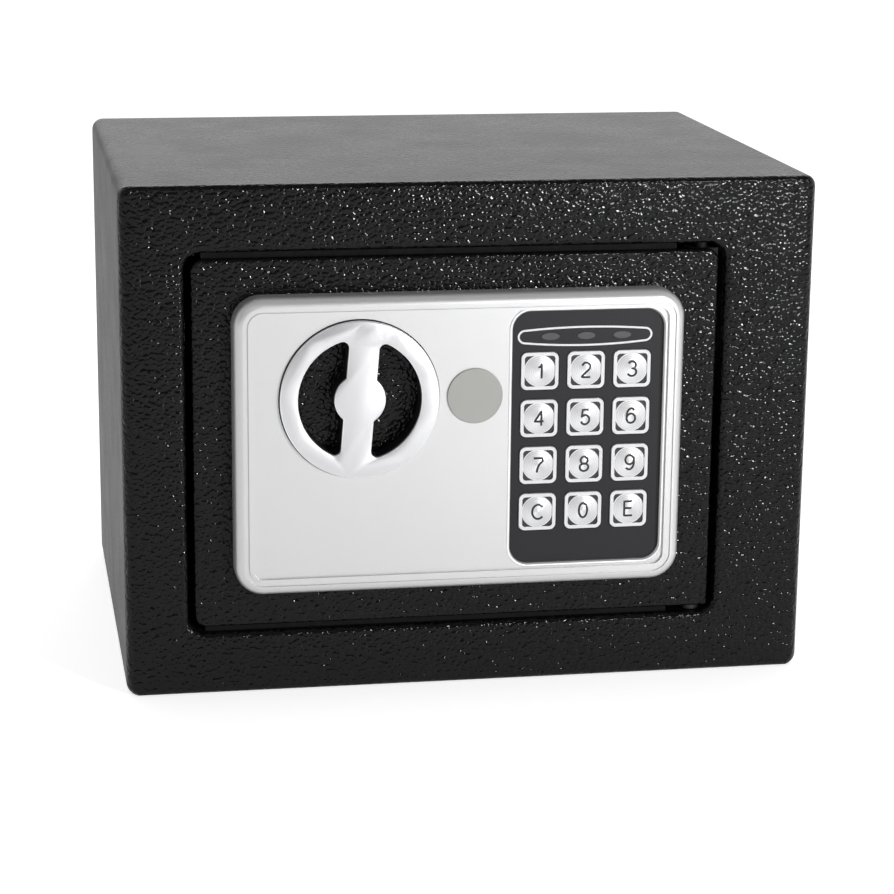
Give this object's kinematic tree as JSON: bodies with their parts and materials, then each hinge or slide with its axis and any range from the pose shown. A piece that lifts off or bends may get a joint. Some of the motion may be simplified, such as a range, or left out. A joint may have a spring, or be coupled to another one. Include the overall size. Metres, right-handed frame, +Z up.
{
  "type": "electronic safe",
  "caption": "Small steel home safe with a hinged door, push-button keypad, turning knob that moves the bolts and a capped emergency lock.",
  "frame": {"origin": "on the floor plane, under the middle of the sheet-metal body", "axes": "+X to the right seen from the front, +Y from the door into the safe, +Z up"},
  "size_m": [0.23, 0.178, 0.17],
  "materials": {
    "hammered_black": "hammered powder coat",
    "felt": "flocked felt",
    "zinc_steel": "zinc plated",
    "bolt_steel": "turned",
    "nylon": "matt",
    "silver_plastic": "silver lacquer",
    "knob_metal": "brushed",
    "black_plastic": "fine matt",
    "key_plastic": "silver with a black printed mark",
    "lens_plastic": "smoked",
    "grey_plastic": "satin",
    "brass_lock": "nickel plated",
    "coil_tape": "taped winding",
    "circuit_board": "solder mask",
    "cell_jacket": "plain jacket",
    "red_plastic": "gloss"
  },
  "bodies": {
    "safe_body": {"body_shell": "hammered_black", "back_panel": "hammered_black", "floor_mat": "felt", "hinge_plates": "hammered_black", "door_stops": "hammered_black", "hinge_washer": "nylon"},
    "door": {"door_plate": "hammered_black", "hinge_lugs": "hammered_black", "hinge_pins": "zinc_steel", "front_panel": "silver_plastic", "panel_screws": "zinc_steel", "keypad_overlay": "black_plastic", "led_lenses": "lens_plastic", "keypad_board": "circuit_board", "keypad_parts": "black_plastic", "link_header": "black_plastic", "carriage_posts": "zinc_steel", "post_caps": "zinc_steel", "lock_cylinder": "brass_lock", "lock_nut": "zinc_steel", "solenoid_frame": "zinc_steel", "solenoid_coil": "coil_tape", "plunger_spring": "zinc_steel", "door_studs": "zinc_steel", "inner_cover": "hammered_black", "cover_screws": "zinc_steel", "battery_box": "black_plastic", "battery_cells": "cell_jacket", "battery_contacts": "zinc_steel", "main_board": "circuit_board", "reset_switch": "black_plastic"},
    "knob": {"knob_face": "knob_metal", "knob_body": "black_plastic", "knob_spindle": "zinc_steel", "knob_clip": "zinc_steel", "knob_crank": "zinc_steel"},
    "bolt_work": {"bolt_carriage": "zinc_steel", "bolt_upper": "bolt_steel", "bolt_lower": "bolt_steel"},
    "lock_core": {"lock_plug": "brass_lock", "lock_cam": "zinc_steel", "cam_screw": "zinc_steel"},
    "plunger": {"solenoid_plunger": "bolt_steel"},
    "lock_cover": {"key_cap": "grey_plastic"},
    "cell_lid": {"battery_lid": "black_plastic"},
    "reset": {"reset_button": "red_plastic"},
    "push_1": {"key_1": "key_plastic"},
    "push_2": {"key_2": "key_plastic"},
    "push_3": {"key_3": "key_plastic"},
    "push_4": {"key_4": "key_plastic"},
    "push_5": {"key_5": "key_plastic"},
    "push_6": {"key_6": "key_plastic"},
    "push_7": {"key_7": "key_plastic"},
    "push_8": {"key_8": "key_plastic"},
    "push_9": {"key_9": "key_plastic"},
    "push_C": {"key_C": "key_plastic"},
    "push_0": {"key_0": "key_plastic"},
    "push_E": {"key_E": "key_plastic"}
  },
  "joints": [
    {"name": "door_swing", "type": "hinge", "parent": "safe_body", "child": "door", "pos_m": [0.0773, -0.0792, 0.0845], "axis": [0, 0, 1], "range_deg": [0, 95]},
    {"name": "knob_turn", "type": "hinge", "parent": "door", "child": "knob", "pos_m": [-0.0386, -0.09, 0.1005], "axis": [0, 1, 0], "range_deg": [-90, 0]},
    {"name": "bolt_slide", "type": "slide", "parent": "door", "child": "bolt_work", "axis": [1, 0, 0], "range_m": [-0.01414, 0]},
    {"name": "lock_turn", "type": "hinge", "parent": "door", "child": "lock_core", "pos_m": [-0.0006, -0.075, 0.1005], "axis": [0, 1, 0], "range_deg": [-90, 0]},
    {"name": "plunger_slide", "type": "slide", "parent": "door", "child": "plunger", "axis": [0, 0, 1], "range_m": [0, 0.004], "deforming": ["plunger_spring"]},
    {"name": "cap_pull", "type": "slide", "parent": "door", "child": "lock_cover", "axis": [0, -1, 0], "range_m": [0, 0.025]},
    {"name": "lid_slide", "type": "slide", "parent": "door", "child": "cell_lid", "axis": [-1, 0, 0], "range_m": [0, 0.02]},
    {"name": "reset_press", "type": "slide", "parent": "door", "child": "reset", "axis": [0, -1, 0], "range_m": [0, 0.0015], "stiffness_N_per_m": 400},
    {"name": "key_1_press", "type": "slide", "parent": "door", "child": "push_1", "axis": [0, 1, 0], "range_m": [0, 0.0008], "stiffness_N_per_m": 300},
    {"name": "key_2_press", "type": "slide", "parent": "door", "child": "push_2", "axis": [0, 1, 0], "range_m": [0, 0.0008], "stiffness_N_per_m": 300},
    {"name": "key_3_press", "type": "slide", "parent": "door", "child": "push_3", "axis": [0, 1, 0], "range_m": [0, 0.0008], "stiffness_N_per_m": 300},
    {"name": "key_4_press", "type": "slide", "parent": "door", "child": "push_4", "axis": [0, 1, 0], "range_m": [0, 0.0008], "stiffness_N_per_m": 300},
    {"name": "key_5_press", "type": "slide", "parent": "door", "child": "push_5", "axis": [0, 1, 0], "range_m": [0, 0.0008], "stiffness_N_per_m": 300},
    {"name": "key_6_press", "type": "slide", "parent": "door", "child": "push_6", "axis": [0, 1, 0], "range_m": [0, 0.0008], "stiffness_N_per_m": 300},
    {"name": "key_7_press", "type": "slide", "parent": "door", "child": "push_7", "axis": [0, 1, 0], "range_m": [0, 0.0008], "stiffness_N_per_m": 300},
    {"name": "key_8_press", "type": "slide", "parent": "door", "child": "push_8", "axis": [0, 1, 0], "range_m": [0, 0.0008], "stiffness_N_per_m": 300},
    {"name": "key_9_press", "type": "slide", "parent": "door", "child": "push_9", "axis": [0, 1, 0], "range_m": [0, 0.0008], "stiffness_N_per_m": 300},
    {"name": "key_C_press", "type": "slide", "parent": "door", "child": "push_C", "axis": [0, 1, 0], "range_m": [0, 0.0008], "stiffness_N_per_m": 300},
    {"name": "key_0_press", "type": "slide", "parent": "door", "child": "push_0", "axis": [0, 1, 0], "range_m": [0, 0.0008], "stiffness_N_per_m": 300},
    {"name": "key_E_press", "type": "slide", "parent": "door", "child": "push_E", "axis": [0, 1, 0], "range_m": [0, 0.0008], "stiffness_N_per_m": 300}
  ],
  "couplings": [
    {"joint": "knob_turn", "follows": "bolt_slide", "rad_per_m": 111.07}
  ]
}
